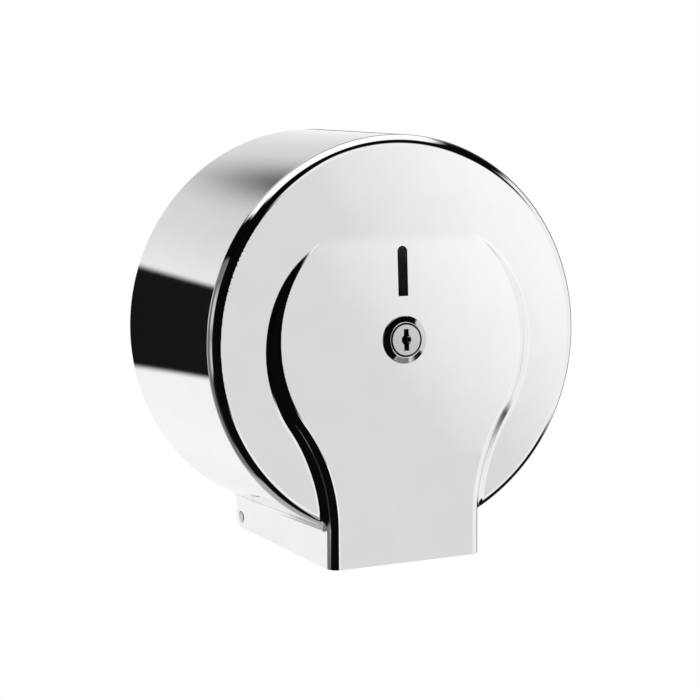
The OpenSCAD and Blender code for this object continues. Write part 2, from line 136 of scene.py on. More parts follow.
# Flags at the sides and in front: angle round the wall's normal from and to, angle away
# from the wall from and to, the width of both soft edges, and how bright polished steel
# shows the flag at its two ends, in sRGB. The angle round is 0 at the left and 90 above.
# The angle away is 0 behind the wall and 180 straight in front of it.
side_flags = [
    (50, 127, 38, 125, 6, 6, 255, 255),
    (30, 140, 30, 50, 8, 4, 30, 30),
    (-22, 30, 30, 45, 6, 6, 235, 235),
    (-62, 30, 42, 106, 6, 6, 105, 120),
    (1, 17, 78, 105, 10, 10, 205, 200),
    (-17, -3, 84, 106, 8, 8, 200, 190),
    (-92, -60, 25, 117, 4, 4, 175, 160),
    (-62, -15, 95, 110, 5, 4, 10, 10),
    (-91, 60, 106, 185, 6, 6, 10, 8),
    (50, 106, 119, 185, 8, 6, 6, 6),
    (100, 162, 119, 147, 7, 6, 6, 6),
    (29, 50, 30, 135, 5, 5, 6, 6),
    (128, 150, 66, 140, 6, 6, 8, 8),
    (-158, -130, 70, 117, 5, 5, 18, 18),
    (-172, -157, 72, 135, 8, 8, 236, 236),
    (135, 230, 30, 76, 10, 8, 50, 60),
    (-45, -18, 80, 96, 5, 4, 45, 45),
    (-128, -92, 100, 140, 6, 6, 120, 150),
    (-200, 200, 165.5, 185, 1, 3, 6, 6),
]
# Flags behind the dispenser, which its side shows: azimuth from and to, elevation from
# and to, both edges, and how bright they show at their lower and upper end.
rear_flags = [
    (140, 225, 10, 36, 6, 4, 230, 190),
    (175, 190, 28, 45, 16, 9, 75, 40),
    (140, 180, -50, -10, 20, 6, 229, 229),
    (118, 159.5, -25, 9, 3, 3, 70, 100),
    (196, 217, -14.3, 10.2, 2, 1.8, 20, 20),
]
tent_white = 238
rear_white = 238
# How far from straight behind the rear flags reach, and how much further where the cheek
# shows them: between two angles round the wall's normal, with soft edges.
rear_reach = 34.8
reach_edge = 1.2
cheek_reach = 2.5
cheek_around = (-48, -30, 6)
# The sheet of cloth that the flat face shows: its ends and edges across and up, where it
# starts to brighten, how that start leans and over what width it brightens, and how bright
# polished steel shows it at first and by how much more.
sheet_across = (0.24, 0.62, 0.05)
sheet_up = (-0.36, 0.14, 0.06)
sheet_start = 0.36
sheet_lean = 0.6
sheet_width = 0.145
sheet_seen = 216.5
sheet_gain = 31


def lay(level, flags, around, along):
    """Lays flags over a part of the tent and returns how bright it is then."""
    for start, end, low, high, edge_around, edge_along, seen_low, seen_high in flags:
        half = (end - start) / 2
        off = (around - start - half + 180) % 360 - 180
        share = within(off, -half, half, edge_around) * within(along, low, high, edge_along)
        seen = linear(seen_low + (seen_high - seen_low) * np.clip((along - low) / (high - low), 0, 1))
        level = level + (seen - level) * share
    return level


def tent_level(way):
    """How bright polished steel shows the tent in each direction."""
    x, y, z = way.T
    around = np.degrees(np.arctan2(z, -x))
    away = np.degrees(np.arccos(np.clip(y, -1, 1)))
    azimuth = np.degrees(np.arctan2(x, -y)) % 360
    elevation = np.degrees(np.arcsin(np.clip(z, -1, 1)))
    level = lay(np.full(x.shape, linear(tent_white)), side_flags, around, away)
    rise = np.clip((x - sheet_start + sheet_lean * (z - 0.02)) / sheet_width, 0, 1)
    sheet = within(x, *sheet_across) * within(z, *sheet_up) * smooth((away - 120) / 10)
    level = level + (linear(sheet_seen + sheet_gain * rise ** 0.8) - level) * sheet
    rear = lay(np.full(x.shape, linear(rear_white)), rear_flags, azimuth, elevation)
    reach = rear_reach + cheek_reach * within(around, *cheek_around)
    return level + (rear - level) * smooth((reach - away) / reach_edge)


shell = bmesh.new()
bmesh.ops.create_uvsphere(shell, u_segments=400, v_segments=240, radius=tent_r,
                          matrix=Matrix.Rotation(math.pi / 2, 4, "X"))
tent_mesh = as_mesh(shell, "light_tent")
spots = np.empty(len(tent_mesh.vertices) * 3)
tent_mesh.vertices.foreach_get("co", spots)
levels = tent_level(spots.reshape(-1, 3) / tent_r) / steel_reflects
brightness = tent_mesh.attributes.new("brightness", "FLOAT", "POINT")
brightness.data.foreach_set("value", levels.astype(np.float32))

tent_cloth, tree = blank_material("tent_cloth")
read = put(tree, "ShaderNodeAttribute", attribute_name="brightness")
glow = put(tree, "ShaderNodeEmission", {"Strength": read.outputs["Fac"]})
put(tree, "ShaderNodeOutputMaterial", {"Surface": glow.outputs[0]})
tent = add_object("light_tent", tent_mesh, tent_cloth)
tent.visible_camera = False

world = bpy.data.worlds.new("studio")
bpy.context.scene.world = world
world.use_nodes = True
world.node_tree.nodes["Background"].inputs["Color"].default_value = (1, 1, 1, 1)

# ---- Floor ----
# A plain white floor far below, because the dispenser hangs on a wall.
floor_r = 30
slab = bmesh.new()
bmesh.ops.create_circle(slab, cap_ends=True, segments=64, radius=floor_r)
bmesh.ops.translate(slab, verts=slab.verts, vec=(0, 0, -tent_r - 0.02))
floor_mesh = as_mesh(slab, "floor")
floor_paint, tree = blank_material("white_floor_paint")
paint = put(tree, "ShaderNodeBsdfDiffuse", {"Color": colour("f2f2f2")})
path = put(tree, "ShaderNodeLightPath")
seen_ray = put(tree, "ShaderNodeMath", {0: path.outputs["Is Camera Ray"], 1: path.outputs["Is Glossy Ray"]},
               operation="MAXIMUM")
seen_ray = put(tree, "ShaderNodeMath", {0: seen_ray.outputs[0], 1: path.outputs["Is Transmission Ray"]},
               operation="MAXIMUM")
lit = put(tree, "ShaderNodeEmission", {"Color": (1, 1, 1, 1)})
mix = put(tree, "ShaderNodeMixShader", {0: seen_ray.outputs[0], 1: paint.outputs[0], 2: lit.outputs[0]})
put(tree, "ShaderNodeOutputMaterial", {"Surface": mix.outputs[0]})
floor = add_object("floor", floor_mesh, floor_paint)


# ---- Back plate ----
# Pressed round plate with a stiffening flange, a tongue and two folded hinge ears. Satin
# stainless sheet as it leaves the mill: fine rolling lines that run up the plate.
def grained(name, base, second, metallic, roughness, spread, grain_mm, height_mm, line_mm=None):
    """Material with a fine grain in its colour, roughness and relief, or lines up the piece."""
    made, tree = blank_material(name)
    place = put(tree, "ShaderNodeTexCoord")
    stretch = put(tree, "ShaderNodeMapping", {"Vector": place.outputs["Object"]})
    if line_mm:
        stretch.inputs["Scale"].default_value = (1, 1, grain_mm / line_mm)
    grain = put(tree, "ShaderNodeTexNoise",
                {"Vector": stretch.outputs[0], "Scale": 1000 / grain_mm, "Detail": 3.0})
    cloud = put(tree, "ShaderNodeTexNoise",
                {"Vector": place.outputs["Object"], "Scale": 50.0, "Detail": 2.0})
    tint = put(tree, "ShaderNodeValToRGB", {"Fac": cloud.outputs[0]})
    tint.color_ramp.elements[0].position = 0.35
    tint.color_ramp.elements[0].color = colour(base)
    tint.color_ramp.elements[1].position = 0.7
    tint.color_ramp.elements[1].color = colour(second)
    dull = put(tree, "ShaderNodeMapRange",
               {"Value": grain.outputs[0], "To Min": roughness - spread, "To Max": roughness + spread})
    relief = put(tree, "ShaderNodeBump",
                 {"Height": grain.outputs[0], "Distance": height_mm * 0.001, "Strength": 1.0})
    skin = put(tree, "ShaderNodeBsdfPrincipled",
               {"Base Color": tint.outputs[0], "Metallic": metallic, "Roughness": dull.outputs[0],
                "Normal": relief.outputs[0]})
    put(tree, "ShaderNodeOutputMaterial", {"Surface": skin.outputs[0]})
    return made


def dress(material, *names):
    """Gives CAD pieces, whose shape is right, their finish."""
    for name in names:
        nodes[name].data.materials.clear()
        nodes[name].data.materials.append(material)


mill_steel = grained("mill_finish_stainless_sheet", "cfcfcd", "c6c6c5", 1.0, 0.3, 0.06, 0.9, 0.003, 12)
dress(mill_steel, "back_plate")

# ---- Spindle flange and rivets ----
# The flange and boss that carry the axle are one deep-drawn piece of plated steel, held
# on the plate by four snap-head rivets of the same bright zinc.
zinc_plate = grained("bright_zinc_plated_steel", "cdd0d4", "c4c9d0", 1.0, 0.24, 0.06, 0.6, 0.002)
dress(zinc_plate, "spindle_base", "base_rivets")

# ---- Axle ----
# Turned steel bar with a clip groove and a square tip. The lathe leaves rings round it,
# too fine to draw one by one, so they show as a soft satin.
turned_steel = grained("turned_bright_steel_bar", "d2d2d2", "cacac9", 1.0, 0.2, 0.05, 0.4, 0.001)
dress(turned_steel, "axle")

# ---- Hub ----
# The sleeve that carries the roll's core and the disc behind the roll are moulded in
# black ABS. A fine spark texture on the tool makes them look dry, not glossy.
black_abs = grained("spark_textured_black_abs", "24262a", "2b2d31", 0.0, 0.48, 0.08, 0.35, 0.02)
dress(black_abs, "hub_sleeve", "hub_disc")

# ---- Bushes and hinge washers ----
# The hub's flanged bushes and the washers beside the hinge ears are moulded nylon in its
# natural milky white, waxy and faintly uneven.
white_nylon = grained("moulded_natural_nylon", "e9e6da", "dfdccf", 0.0, 0.38, 0.05, 1.2, 0.006)
dress(white_nylon, "rear_bush", "front_bush", "hinge_washers")

# ---- Axle washers and snap ring ----
# Two punched washers hold the hub, and a spring-steel snap ring in the axle's groove
# keeps them on. The ring is phosphated, a dark and dull grey.
dress(zinc_plate, "thrust_washer", "front_washer")
phosphate = grained("phosphated_spring_steel", "4a4a4c", "3d3d40", 1.0, 0.42, 0.08, 0.5, 0.003)
dress(phosphate, "axle_clip")

# ---- Keeper ----
# Bent strip at the tip of the axle, behind whose lip the lock's cam turns. Its screw is
# plated, and has a hexagon socket.
dress(mill_steel, "keeper")
dress(zinc_plate, "keeper_screw")

# ---- Cover shell: shape of the sheet ----
# Stainless sheet, pressed, welded and then mirror polished, which leaves a faint orange
# peel. Its shape is drawn here in millimetres, as it lies on the bench before it is hung.
mirror_steel = grained("mirror_polished_stainless_steel", "e8e8e7", "e6e6e6", 1.0, 0.04, 0.02, 9, 0.0004)

# On the bench x runs to the right, y up the wall and z out from the wall. Each surface is a
# function that gives how far points lie outside it, below zero inside the outer skin.
MM = 0.001
bench_to_wall = Matrix(((MM, 0, 0, 0), (0, 0, -MM, 0), (0, MM, 0, 0), (0, 0, 0, 1)))

front_r = 110
draft = 5
drum_depth = 122
rim_round = 5.5
sheet_t = 1
foot_half = 46
foot_y = 122
bulb_r = 77.5
bulb_y = -0.5
neck_r = 95
panel_top = 54.5
ramp_end = 66
panel_rise = 5.5
panel_easing = 3
wall_gap = 0.5
bend_r = 6
throat_r = 5
throat_z = 112

seam_z = drum_depth - rim_round
panel_slope = panel_rise / (panel_top + ramp_end)
neck_x = foot_half + neck_r
neck_y = bulb_y - math.sqrt((bulb_r + neck_r) ** 2 - neck_x ** 2)
side_lean = math.cos(math.atan(draft / seam_z))

# Each cheek has a shallow dish for the hinge pin's head, and a round corner at the wall.
# The press pushes the sheet's inner side further in than the polished outer side shows.
pin_z = 7
corner_r = pin_z - wall_gap
pin_y = corner_r - foot_y
cheek_x = foot_half + draft * (1 - pin_z / seam_z)
pressed_in = 1.2
dish_depth = 0.08
dish_floor_r = 4
dish_r = 7.4


def spread(z):
    """How much wider the drum and the foot are at z than at the rim."""
    return draft * (1 - z / seam_z)


def eased(height, reach):
    """The height where it is above zero, with a soft start over a reach on both sides."""
    return np.where(height > reach, height, np.maximum(height + reach, 0) ** 2 / (4 * reach))


def panel_z(y):
    ramp = panel_top + ramp_end
    fall = ramp - eased(ramp - eased(panel_top - y, panel_easing), panel_easing)
    return drum_depth + panel_slope * fall


def panel_edge(x, y):
    """Distance outside the raised panel's outline: bulb, two neck curves and foot."""
    x = np.abs(x)
    above = (y - bulb_y) * neck_x - x * (neck_y - bulb_y) > 0
    bulb = np.hypot(x, y - bulb_y) - bulb_r
    neck = neck_r - np.hypot(x - neck_x, y - neck_y)
    return np.where(above, bulb, np.where(y > neck_y, neck, x - foot_half))


def rounded(side, front):
    """Body behind a side and a front face, with its edge rounded like the rim."""
    bend = np.hypot(np.maximum(side + rim_round, 0), np.maximum(front + rim_round, 0))
    return np.where((side < -rim_round) & (front < -rim_round), np.maximum(side, front), bend - rim_round)


def dish(y, z):
    """Share of the dish's full depth, one on its floor and zero outside it."""
    return smooth((dish_r - np.hypot(y - pin_y, z - pin_z)) / (dish_r - dish_floor_r))


def drum(p):
    side = (np.hypot(p[:, 0], p[:, 1]) - front_r - spread(p[:, 2])) * side_lean
    return rounded(side, p[:, 2] - drum_depth)


def foot(p):
    side = panel_edge(p[:, 0], p[:, 1]) - spread(p[:, 2]) + dish_depth * dish(p[:, 1], p[:, 2])
    return rounded(side * side_lean, p[:, 2] - panel_z(p[:, 1]))


def gradient(distance, p):
    step = 0.001
    parts = [(distance(p + offset) - distance(p - offset)) / (2 * step) for offset in np.eye(3) * step]
    return np.stack(parts, 1)


def unit(v):
    return v / np.maximum(np.linalg.norm(v, axis=1, keepdims=True), 1e-9)


def throat(z):
    """Radius of the inside bend where drum and foot meet, tighter at the front."""
    return bend_r + (throat_r - bend_r) * smooth((z - throat_z) / (drum_depth - throat_z))


def cover(p):
    """Drum and foot as one skin, with a round bend where they meet at any angle."""
    a = drum(p)
    b = foot(p)
    joined = np.minimum(a, b)
    radius = throat(p[:, 2])
    near = np.flatnonzero((a < radius) & (b < radius) & (np.minimum(a, b) > -8))
    if len(near):
        normal_a = unit(gradient(drum, p[near]))
        normal_b = unit(gradient(foot, p[near]))
        cosine = (normal_a * normal_b).sum(1)
        r = radius[near]
        u = r - a[near]
        v = r - b[near]
        inside = (u > v * cosine) & (v > u * cosine) & (np.abs(cosine) < 0.9999)
        sine2 = np.maximum(1 - cosine ** 2, 1e-6)
        bend = r - np.sqrt(np.maximum(u * u + v * v - 2 * u * v * cosine, 0) / sine2)
        joined[near] = np.where(inside, bend, joined[near])
    return joined


def settle(p, rounds=4, free=(1, 1, 1)):
    """Moves points straight onto the skin, along the directions in which they are free."""
    for _ in range(rounds):
        slope = gradient(cover, p) * free
        size = np.maximum((slope ** 2).sum(1, keepdims=True), 0.05)
        p = p - slope * (cover(p)[:, None] / size)
    return p


def take_points(mesh):
    p = np.empty(len(mesh.vertices) * 3)
    mesh.vertices.foreach_get("co", p)
    return p.reshape(-1, 3)


def give_points(mesh, p):
    mesh.vertices.foreach_set("co", np.asarray(p, np.float32).ravel())
    mesh.update()


def relax(mesh, p, pinned, rounds):
    """Evens out the faces: each point goes halfway to its neighbours, then back on the skin."""
    ends = np.empty(len(mesh.edges) * 2, int)
    mesh.edges.foreach_get("vertices", ends)
    ends = ends.reshape(-1, 2)
    both = np.concatenate([ends, ends[:, ::-1]])
    count = np.maximum(np.bincount(both[:, 0], minlength=len(p)), 1)[:, None]
    for _ in range(rounds):
        middle = np.stack([np.bincount(both[:, 0], p[both[:, 1], k], len(p)) for k in range(3)], 1) / count
        moved = np.where(pinned[:, None], p, (p + middle) / 2)
        near = np.flatnonzero(~pinned)
        moved[near] = settle(moved[near], rounds=1)
        p = moved
    return p


def crease(mesh, angle=35):
    """Smooth shading with sharp edges where two faces meet at more than an angle."""
    mesh.shade_smooth()
    work = bmesh.new()
    work.from_mesh(mesh)
    for edge in work.edges:
        edge.smooth = edge.calc_face_angle(0) < math.radians(angle)
    work.to_mesh(mesh)
    work.free()


def skin_normals(mesh):
    """Gives the skin's exact normals to the faces that lie on it, and flat ones to cut edges."""
    p = take_points(mesh)
    exact = unit(gradient(cover, p))
    depth = cover(p)
    wanted = np.empty((len(mesh.loops), 3))
    for face in mesh.polygons:
        corners = list(face.vertices)
        across = np.array(face.normal)
        facing = exact[corners] @ across
        if np.ptp(depth[corners]) < 0.08 and facing.min() > 0.5:
            wanted[face.loop_indices] = exact[corners]
        elif np.ptp(depth[corners]) < 0.08 and facing.max() < -0.5:
            wanted[face.loop_indices] = -exact[corners]
        else:
            wanted[face.loop_indices] = across
    return wanted


cut_easing = 0.22


def eased_edges(work, edges):
    """Breaks sharp edges, as plating and polishing do."""
    bmesh.ops.bevel(work, geom=edges, offset=cut_easing, offset_type="OFFSET", affect="EDGES",
                    segments=2, profile=0.5, material=-1, clamp_overlap=True)


def slice_off(work, spot, out):
    """Cuts a mesh along a plane and drops the side that out points to."""
    bmesh.ops.bisect_plane(work, geom=work.verts[:] + work.edges[:] + work.faces[:],
                           plane_co=spot, plane_no=out, clear_outer=True)


def wall_up(work, is_edge):
    """Gives a skin its thickness, level at the foot, and breaks the cut edges it shows."""
    bmesh.ops.solidify(work, geom=work.faces[:], thickness=sheet_t)
    for v in work.verts:
        v.co.y = max(v.co.y, -foot_y)
    skin = cover(np.array([v.co for v in work.verts]))
    work.verts.index_update()
    sharp = [e for e in work.edges
             if all(skin[v.index] > -0.05 and is_edge(v.co) for v in e.verts)
             and e.calc_face_angle(0) > math.radians(60)]
    eased_edges(work, sharp)


def finish_skin(mesh, name, node):
    """Stands the bench mesh up on the wall as the finished piece for a CAD node."""
    wanted = skin_normals(mesh)
    mesh.transform(bench_to_wall)
    mesh.shade_smooth()
    turned = np.stack([wanted[:, 0], -wanted[:, 2], wanted[:, 1]], 1)
    mesh.normals_split_custom_set([tuple(n) for n in turned])
    mesh.materials.clear()
    piece = add_object(name, mesh, mirror_steel)
    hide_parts(node)
    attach(piece, "cover")


# ---- Cover band ----
# The drum's side and the foot's cheeks are one rolled strip, welded to the front along a
# seam that the polish leaves as a hair-fine groove. Each cheek is dished for a hinge pin.
groove = 0.15
cheek_groove = 0.03
cheek_groove_y = -100
groove_fade = 8


def seam_depth(p):
    """Depth of the seam's groove: the cheeks, ground flat, show less of it than the drum."""
    return cheek_groove + (groove - cheek_groove) * smooth((p[:, 1] - cheek_groove_y) / groove_fade)


def band_ring(z):
    """Points of the strip at z, from the left cheek's lower edge over the drum to the right one."""
    wide = foot_half + spread(z)
    drum_r = front_r + spread(z)
    r = throat(np.array(float(z)))
    bend_x = wide + r
    bend_y = -math.sqrt((drum_r + r) ** 2 - bend_x ** 2)
    turn = math.atan2(-bend_y, bend_x)
    cheek = [(wide, y) for y in np.linspace(-foot_y, bend_y, 49)[:-1]]
    bend = [(bend_x + r * math.cos(a), bend_y + r * math.sin(a))
            for a in np.linspace(math.pi, math.pi - turn, 25)[:-1]]
    over = [(drum_r * math.cos(a), drum_r * math.sin(a)) for a in np.linspace(-turn, math.pi / 2, 121)]
    half = cheek + bend + over
    return [Vector((-x, y, z)) for x, y in half] + [Vector((x, y, z)) for x, y in half[-2::-1]]


band = bmesh.new()
rows = [*np.linspace(wall_gap, 18, 46), *np.linspace(20, seam_z - 0.3, 26), seam_z]
row = [band.verts.new(p) for p in band_ring(rows[0])]
edges = [band.edges.new(pair) for pair in zip(row, row[1:])]
for z in rows[1:]:
    grown = bmesh.ops.extrude_edge_only(band, edges=edges)
    edges = [g for g in grown["geom"] if isinstance(g, bmesh.types.BMEdge)]
    fresh = {g for g in grown["geom"] if isinstance(g, bmesh.types.BMVert)}
    row = [next(e.other_vert(v) for e in v.link_edges if e.other_vert(v) in fresh) for v in row]
    for v, p in zip(row, band_ring(z)):
        v.co = p
points = settle(np.array([v.co for v in band.verts]), free=(1, 1, 0))
sunk = np.where(points[:, 2] > seam_z - 0.01, seam_depth(points), 0)
points -= unit(gradient(cover, points)) * sunk[:, None]
for v, p in zip(band.verts, points):
    v.co = p

corner_cuts = 9
for k in range(corner_cuts):
    a = math.radians(180 + 90 * (k + 0.5) / corner_cuts)
    out = Vector((0, math.sin(a), math.cos(a)))
    slice_off(band, Vector((0, pin_y, pin_z)) + out * corner_r, out)
bmesh.ops.remove_doubles(band, verts=band.verts, dist=0.02)
bmesh.ops.recalc_face_normals(band, faces=band.faces)
middle = band.faces[len(band.faces) // 2]
if middle.calc_center_median().dot(middle.normal) < 0:
    bmesh.ops.reverse_faces(band, faces=band.faces)
# The cut edge stays plain at the round corner by the pin.
corner_end_z = 14
corner_end_y = pin_y + 4
wall_up(band, lambda co: corner_end_z < co.z < seam_z - 1 or co.y > corner_end_y)
for v in band.verts:
    inner = abs(v.co.x) < foot_half + spread(v.co.z) - dish_depth - sheet_t / 2
    if inner and v.co.y < pin_y + dish_r:
        v.co.x -= math.copysign((pressed_in - dish_depth) * float(dish(v.co.y, v.co.z)), v.co.x)
finish_skin(as_mesh(band, "cover_band_sheet"), "cover_band_sheet", "cover_band")

# ---- Cover front ----
# The front is pressed from one sheet: the flat face, the rounded rim, the raised panel
# that runs down into the foot, the level slot and the hole for the lock.
voxel = 1.2
slot_w = 5.9
slot_len = 27
slot_y = 23.5
lock_hole_r = 9.7
lock_tilt = math.atan(panel_slope)
lock_z = drum_depth + panel_slope * panel_top

blank = bmesh.new()
blank_rear = 106
bmesh.ops.create_cone(
    blank, cap_ends=True, segments=240, radius1=front_r + spread(blank_rear), radius2=front_r,
    depth=drum_depth - blank_rear, matrix=Matrix.Translation((0, 0, (drum_depth + blank_rear) / 2)))
neck_turn = math.acos(neck_x / (bulb_r + neck_r))
half = [(foot_half, -foot_y - 8)]
half += [(neck_x + neck_r * math.cos(a), neck_y + neck_r * math.sin(a))
         for a in np.linspace(math.pi, math.pi - neck_turn, 40)]
half += [(bulb_r * math.cos(a), bulb_y + bulb_r * math.sin(a))
         for a in np.linspace(-neck_turn, math.pi / 2, 90)[1:]]
outline = half + [(-x, y) for x, y in half[-2::-1]]
base = blank.faces.new([blank.verts.new((x, y, blank_rear)) for x, y in outline])
grown = bmesh.ops.extrude_face_region(blank, geom=[base])
for v in grown["geom"]:
    if isinstance(v, bmesh.types.BMVert):
        v.co.z = float(panel_z(np.array(v.co.y)))
bmesh.ops.recalc_face_normals(blank, faces=blank.faces)
press = add_object("cover_blank", as_mesh(blank, "cover_blank"))
remesh = press.modifiers.new("remesh", "REMESH")
remesh.mode = "VOXEL"
remesh.voxel_size = voxel


def finished_mesh(source, name):
    """The object's mesh with its modifiers applied; the object itself is removed."""
    made = bpy.data.meshes.new_from_object(source.evaluated_get(bpy.context.evaluated_depsgraph_get()))
    made.name = name
    bpy.data.objects.remove(source)
    return made


# The blank's rear is only there to close it, and is cut off at the seam.
settled_from_z = 110
front_mesh = finished_mesh(press, "cover_front_sheet")
points = take_points(front_mesh)
rear_part = points[:, 2] < settled_from_z
front_part = np.flatnonzero(~rear_part)
points[front_part] = settle(points[front_part], rounds=3)
points = relax(front_mesh, points, rear_part, 10)
points[front_part] = settle(points[front_part])
give_points(front_mesh, points)

front = bmesh.new()
front.from_mesh(front_mesh)
groove_z = seam_z + 0.3
slice_off(front, (0, 0, groove_z), (0, 0, -1))
slice_off(front, (0, -foot_y, 0), (0, -1, 0))
bmesh.ops.remove_doubles(front, verts=front.verts, dist=0.2)
for v in front.verts:
    if abs(v.co.y + foot_y) < 0.15:
        v.co.y = -foot_y
    if abs(v.co.z - groove_z) < 0.15:
        v.co.z = groove_z
front.to_mesh(front_mesh)
points = take_points(front_mesh)
on_cut = (points[:, 2] < groove_z + 0.01) | (points[:, 1] < -foot_y + 0.01)
points = relax(front_mesh, points, on_cut, 4)
points[~on_cut] = settle(points[~on_cut])
give_points(front_mesh, points)
front.free()

# Faces are split where the skin bends, so that the tent's edges are drawn smoothly there.
front = bmesh.new()
front.from_mesh(front_mesh)
towards = unit(gradient(cover, points))
split_over = math.cos(math.radians(1.5))
bent = [e for e in front.edges if towards[e.verts[0].index] @ towards[e.verts[1].index] < split_over]
split = bmesh.ops.subdivide_edges(front, edges=bent, cuts=1, use_grid_fill=True)
fresh = [g for g in split["geom_inner"] if isinstance(g, bmesh.types.BMVert)]
fresh = [v for v in fresh if v.co.z > groove_z + 0.01 and v.co.y > -foot_y + 0.01]
for v, p in zip(fresh, settle(np.array([v.co for v in fresh]))):
    v.co = p
rear_edges = [e for e in front.edges if e.is_boundary and all(v.co.z < groove_z + 0.01 for v in e.verts)]
grown = bmesh.ops.extrude_edge_only(front, edges=rear_edges)
fresh = [g for g in grown["geom"] if isinstance(g, bmesh.types.BMVert)]
points = np.array([v.co for v in fresh])
sunk = unit(gradient(cover, points)) * seam_depth(points)[:, None]
for v, n in zip(fresh, sunk):
    v.co -= Vector(n)
    v.co.z = seam_z
bmesh.ops.recalc_face_normals(front, faces=front.faces)
top = max(front.faces, key=lambda f: f.calc_center_median().z)
if top.normal.z < 0:
    bmesh.ops.reverse_faces(front, faces=front.faces)
wall_up(front, lambda co: co.y < -foot_y + 0.05)
front.to_mesh(front_mesh)
front.free()

tool = bmesh.new()
round_y = slot_y + slot_len - slot_w / 2
slot_ring = [(-slot_w / 2, slot_y), (slot_w / 2, slot_y)]
slot_ring += [(slot_w / 2 * math.cos(a), round_y + slot_w / 2 * math.sin(a))
              for a in np.linspace(0, math.pi, 33)]
base = tool.faces.new([tool.verts.new((x, y, seam_z)) for x, y in slot_ring])
grown = bmesh.ops.extrude_face_region(tool, geom=[base])
punched = [g for g in grown["geom"] if isinstance(g, bmesh.types.BMVert)]
bmesh.ops.translate(tool, verts=punched, vec=(0, 0, 2 * rim_round))
bmesh.ops.create_cone(
    tool, cap_ends=True, segments=96, radius1=lock_hole_r, radius2=lock_hole_r, depth=2 * rim_round,
    matrix=Matrix.Translation((0, 0, lock_z)) @ Matrix.Rotation(-lock_tilt, 4, "X"))
bmesh.ops.recalc_face_normals(tool, faces=tool.faces)
punch = add_object("punch", as_mesh(tool, "punch"))
pressing = add_object("pressing", front_mesh)
cut = pressing.modifiers.new("cut", "BOOLEAN")
cut.operation = "DIFFERENCE"
cut.solver = "EXACT"
cut.object = punch
front_mesh = finished_mesh(pressing, "cover_front_sheet")
bpy.data.objects.remove(punch)
finish_skin(front_mesh, "cover_front_sheet", "cover_front")

# ---- Hinge pins ----
# Headed pins through the cheeks and the plate's ears, of turned stainless steel. The low
# head lies in the cheek's dish; it was tumbled, so it is soft grey and its edge is round.
pin_r = 2
pin_head_r = 3.6
pin_head_up = 0.14
pin_edge = 0.1
pin_tail_r = 3.5
pin_tail_h = 1.2
pin_crown = 0.04
plate_t = 1.5
ear_gap = 1.3
ear_x = cheek_x - pressed_in - sheet_t - ear_gap
head_z = cheek_x - dish_depth + pin_head_up
profile = [(0, ear_x - plate_t - pin_tail_h), (pin_tail_r, ear_x - plate_t - pin_tail_h),
           (pin_tail_r, ear_x - plate_t), (pin_r, ear_x - plate_t),
           (pin_r, cheek_x - pressed_in), (pin_head_r, cheek_x - pressed_in)]
profile += [(pin_head_r - pin_edge * (1 - math.cos(a)), head_z - pin_edge * (1 - math.sin(a)))
            for a in np.linspace(0, math.pi / 2, 5)]
profile += [(pin_head_r * 0.4, head_z + 0.75 * pin_crown), (0, head_z + pin_crown)]
pins = bmesh.new()
for side in (-1, 1):
    place = Matrix.Translation((0, pin_y, pin_z)) @ Matrix.Rotation(side * math.pi / 2, 4, "Y")
    spots = [pins.verts.new((r, 0, z)) for r, z in profile]
    line = [pins.edges.new(pair) for pair in zip(spots, spots[1:])]
    bmesh.ops.spin(pins, geom=spots + line, axis=(0, 0, 1), cent=(0, 0, 0), steps=64,
                   angle=2 * math.pi, use_merge=True)
    turned = {v for v in pins.verts if v.co.z > 0 and abs(v.co.x) < 10}
    bmesh.ops.transform(pins, matrix=place, verts=list(turned))
bmesh.ops.remove_doubles(pins, verts=pins.verts, dist=0.001)
bmesh.ops.recalc_face_normals(pins, faces=pins.faces)
pins.transform(bench_to_wall)
pins_mesh = as_mesh(pins, "hinge_pins_turned")
crease(pins_mesh, 30)
tumbled_steel = grained("tumbled_stainless_steel", "e6e6e5", "dededd", 1.0, 0.32, 0.02, 0.5, 0.001)
hinge_pins = add_object("hinge_pins_turned", pins_mesh, tumbled_steel)
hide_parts("hinge_pins")
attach(hinge_pins, "wall_frame")

# ---- Lock housing ----
# Zinc casting, nickel plated: a collar whose slope runs in to a narrow flat ring, and the
# barrel behind it. The gap round the plug is painted black as shade, so it shows as a black ring.
nickel = grained("nickel_plated_zinc_casting", "cbccca", "c5c6c5", 1.0, 0.07, 0.03, 1.5, 0.0006)
# Dark paint for the painted shade in the gap round the plug and in the keyway.
gap_shade_paint = grained("dark_paint_for_shade", "1c1c1c", "121212", 0.6, 0.5, 0.08, 0.6, 0.004)
lock_place = (bench_to_wall @ Matrix.Translation((0, 0, lock_z))
              @ Matrix.Rotation(-lock_tilt, 4, "X"))
collar_r = 12.97
collar_low = 0.55
collar_top = 2.15
collar_ring_r = 9.65
collar_bore_r = 9.1
collar_easing = 0.3
barrel_r = 9.5
barrel_bore_r = 6.8
barrel_join = -12


def merged_copy(name):
    """A CAD piece's mesh in the lock's own millimetres, merged, with whole flat faces."""
    work = bmesh.new()
    work.from_mesh(nodes[name].data)
    work.transform(lock_place.inverted())
    bmesh.ops.remove_doubles(work, verts=work.verts, dist=0.002)
    bmesh.ops.dissolve_limit(work, angle_limit=math.radians(0.5), verts=work.verts, edges=work.edges)
    return work


def radius(co):
    return math.hypot(co.x, co.y)


def set_radius(v, r):
    v.co.xy *= r / radius(v.co)


def eased_profile(corners, easing, steps=5):
    """Corners of a turned profile, those with easing rounded and held by close points."""
    made = []
    for before, here, after in zip(corners, corners[1:], corners[2:]):
        spot = Vector(here[:2])
        if len(here) == 2:
            made.append(spot)
            continue
        to = (Vector(before[:2]) - spot).normalized()
        on = (Vector(after[:2]) - spot).normalized()
        start = spot + to * easing
        end = spot + on * easing
        made.append(start + to * 0.05)
        for k in np.linspace(0, 1, steps):
            made.append(start * (1 - k) ** 2 + spot * 2 * k * (1 - k) + end * k ** 2)
        made.append(end + on * 0.05)
    return made


